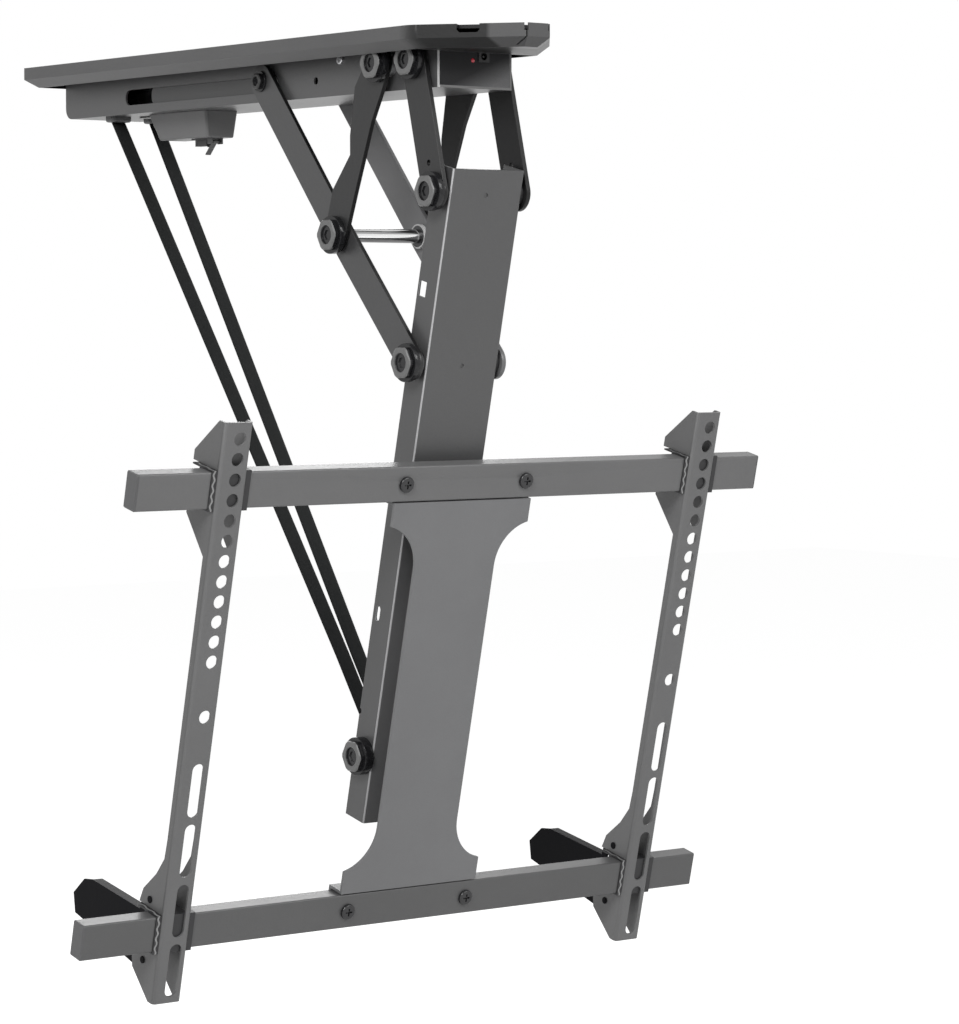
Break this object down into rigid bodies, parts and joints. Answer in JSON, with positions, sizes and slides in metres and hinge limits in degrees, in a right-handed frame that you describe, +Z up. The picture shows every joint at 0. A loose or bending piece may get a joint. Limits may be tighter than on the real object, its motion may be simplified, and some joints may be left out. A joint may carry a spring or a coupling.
{
  "type": "motorized tv ceiling mount",
  "caption": "Ceiling mount whose strap winch swings a sloping arm, with cross tubes and slotted screen rails, up flat under a slim ceiling cover.",
  "frame": {"origin": "centre of the ceiling bolt pattern, on the ceiling face of the top plate", "axes": "+Z up to the ceiling, -Y towards the nose of the cover and the screen's front, +X across to the right rail"},
  "size_m": [0.64, 0.692, 0.7922],
  "materials": {
    "painted_steel": "dark grey powder coat",
    "cover_paint": "dark grey powder coat",
    "black_plastic": "moulded black plastic",
    "red_lens": "red lens",
    "circuit_board": "solder mask",
    "zinc_steel": "zinc plated",
    "motor_steel": "plated can",
    "bronze": "sintered bronze",
    "webbing": "woven webbing",
    "chrome_shaft": "polished chrome",
    "cap_black": "black oxide with a lighter ring",
    "screw_black": "black zinc"
  },
  "bodies": {
    "ceiling_unit": {"ceiling_plate": "painted_steel", "ceiling_cover": "cover_paint", "cover_clips": "zinc_steel", "channel": "painted_steel", "channel_screws": "zinc_steel", "channel_end_plate": "painted_steel", "dc_jack": "black_plastic", "power_lamp_lens": "red_lens", "control_board": "circuit_board", "board_posts": "zinc_steel", "ceiling_pivot_spacers": "zinc_steel", "ceiling_pivot_bolts": "cap_black", "slide_tracks": "black_plastic", "winch_motor": "motor_steel", "winch_gearbox": "motor_steel", "motor_saddles": "black_plastic", "drum_bearing_plates": "zinc_steel", "drum_bearings": "bronze", "strap_guides": "black_plastic", "strap_leads": "webbing", "switch_box": "painted_steel", "lever_bracket": "zinc_steel", "limit_switch": "black_plastic"},
    "drum": {"winch_drum": "zinc_steel", "strap_coils": "webbing"},
    "straps": {"strap_runs": "webbing"},
    "lever": {"limit_lever": "zinc_steel"},
    "rocker": {"rocker_left": "painted_steel", "rocker_right": "painted_steel", "mid_shaft": "chrome_shaft", "mid_bushes": "zinc_steel", "mid_cap_bolts": "cap_black"},
    "long_link": {"long_link_left": "painted_steel", "long_link_right": "painted_steel", "slide_pins": "cap_black"},
    "slider": {"slide_bars": "painted_steel"},
    "front_link": {"front_link_left": "painted_steel", "front_link_right": "painted_steel", "front_link_bolts": "cap_black"},
    "arm": {"arm_channel": "painted_steel", "arm_bosses": "black_plastic", "arm_nuts": "zinc_steel", "arm_pivot_bolts": "cap_black", "strap_axle": "zinc_steel", "axle_spacers": "black_plastic", "axle_cap_bolts": "cap_black", "screen_plate": "painted_steel", "plate_posts": "painted_steel", "upper_tube": "painted_steel", "lower_tube": "painted_steel", "tube_end_caps": "black_plastic", "tube_screws": "screw_black"},
    "roller": {"strap_roller": "black_plastic", "strap_wraps": "webbing"},
    "left_rail": {"rail_left": "painted_steel", "rail_liners_left": "black_plastic", "rail_claw_left": "painted_steel"},
    "right_rail": {"rail_right": "painted_steel", "rail_liners_right": "black_plastic", "rail_claw_right": "painted_steel"}
  },
  "joints": [
    {"name": "fold", "type": "hinge", "parent": "ceiling_unit", "child": "rocker", "pos_m": [0, -0.2564, -0.0253], "axis": [1, 0, 0], "range_deg": [0, 52]},
    {"name": "link_turn", "type": "hinge", "parent": "rocker", "child": "long_link", "pos_m": [0, -0.1931, -0.1655], "axis": [1, 0, 0], "range_deg": [-90.77, 0]},
    {"name": "arm_turn", "type": "hinge", "parent": "long_link", "child": "arm", "pos_m": [0, -0.29244, -0.27198], "axis": [1, 0, 0], "range_deg": [0, 114.24]},
    {"name": "front_link_turn", "type": "hinge", "parent": "ceiling_unit", "child": "front_link", "pos_m": [0, -0.2971, -0.0247], "axis": [1, 0, 0], "range_deg": [-46.13, 0]},
    {"name": "slide_travel", "type": "slide", "parent": "ceiling_unit", "child": "slider", "axis": [0, 1, 0], "range_m": [0, 0.14462]},
    {"name": "strap_swing", "type": "hinge", "parent": "ceiling_unit", "child": "straps", "pos_m": [0, 0.2, -0.0535], "axis": [1, 0, 0], "range_deg": [-29.76, 0], "deforming": ["strap_runs"]},
    {"name": "drum_turn", "type": "hinge", "parent": "ceiling_unit", "child": "drum", "pos_m": [0, 0.236, -0.025], "axis": [1, 0, 0], "range_deg": [-2582.33, 0]},
    {"name": "roller_turn", "type": "hinge", "parent": "arm", "child": "roller", "pos_m": [0, -0.21457, -0.60448], "axis": [1, 0, 0], "range_deg": [-105.28, 0]},
    {"name": "lever_press", "type": "hinge", "parent": "ceiling_unit", "child": "lever", "pos_m": [0, 0.067, -0.0752], "axis": [1, 0, 0], "range_deg": [0, 14], "stiffness_Nm_per_rad": 0.02, "springref_deg": -5.73},
    {"name": "rail_left_slide", "type": "slide", "parent": "arm", "child": "left_rail", "axis": [1, 0, 0], "range_m": [-0.064, 0.136]},
    {"name": "rail_right_slide", "type": "slide", "parent": "arm", "child": "right_rail", "axis": [1, 0, 0], "range_m": [-0.156, 0.046]}
  ],
  "couplings": [
    {"joint": "link_turn", "follows": "fold", "ratio": -1.7437},
    {"joint": "arm_turn", "follows": "fold", "ratio": 2.1945},
    {"joint": "front_link_turn", "follows": "fold", "ratio": -0.88611},
    {"joint": "slide_travel", "follows": "fold", "m_per_rad": 0.15919},
    {"joint": "strap_swing", "follows": "fold", "ratio": -0.57158},
    {"joint": "drum_turn", "follows": "fold", "ratio": -49.61},
    {"joint": "roller_turn", "follows": "fold", "ratio": -2.0224}
  ]
}
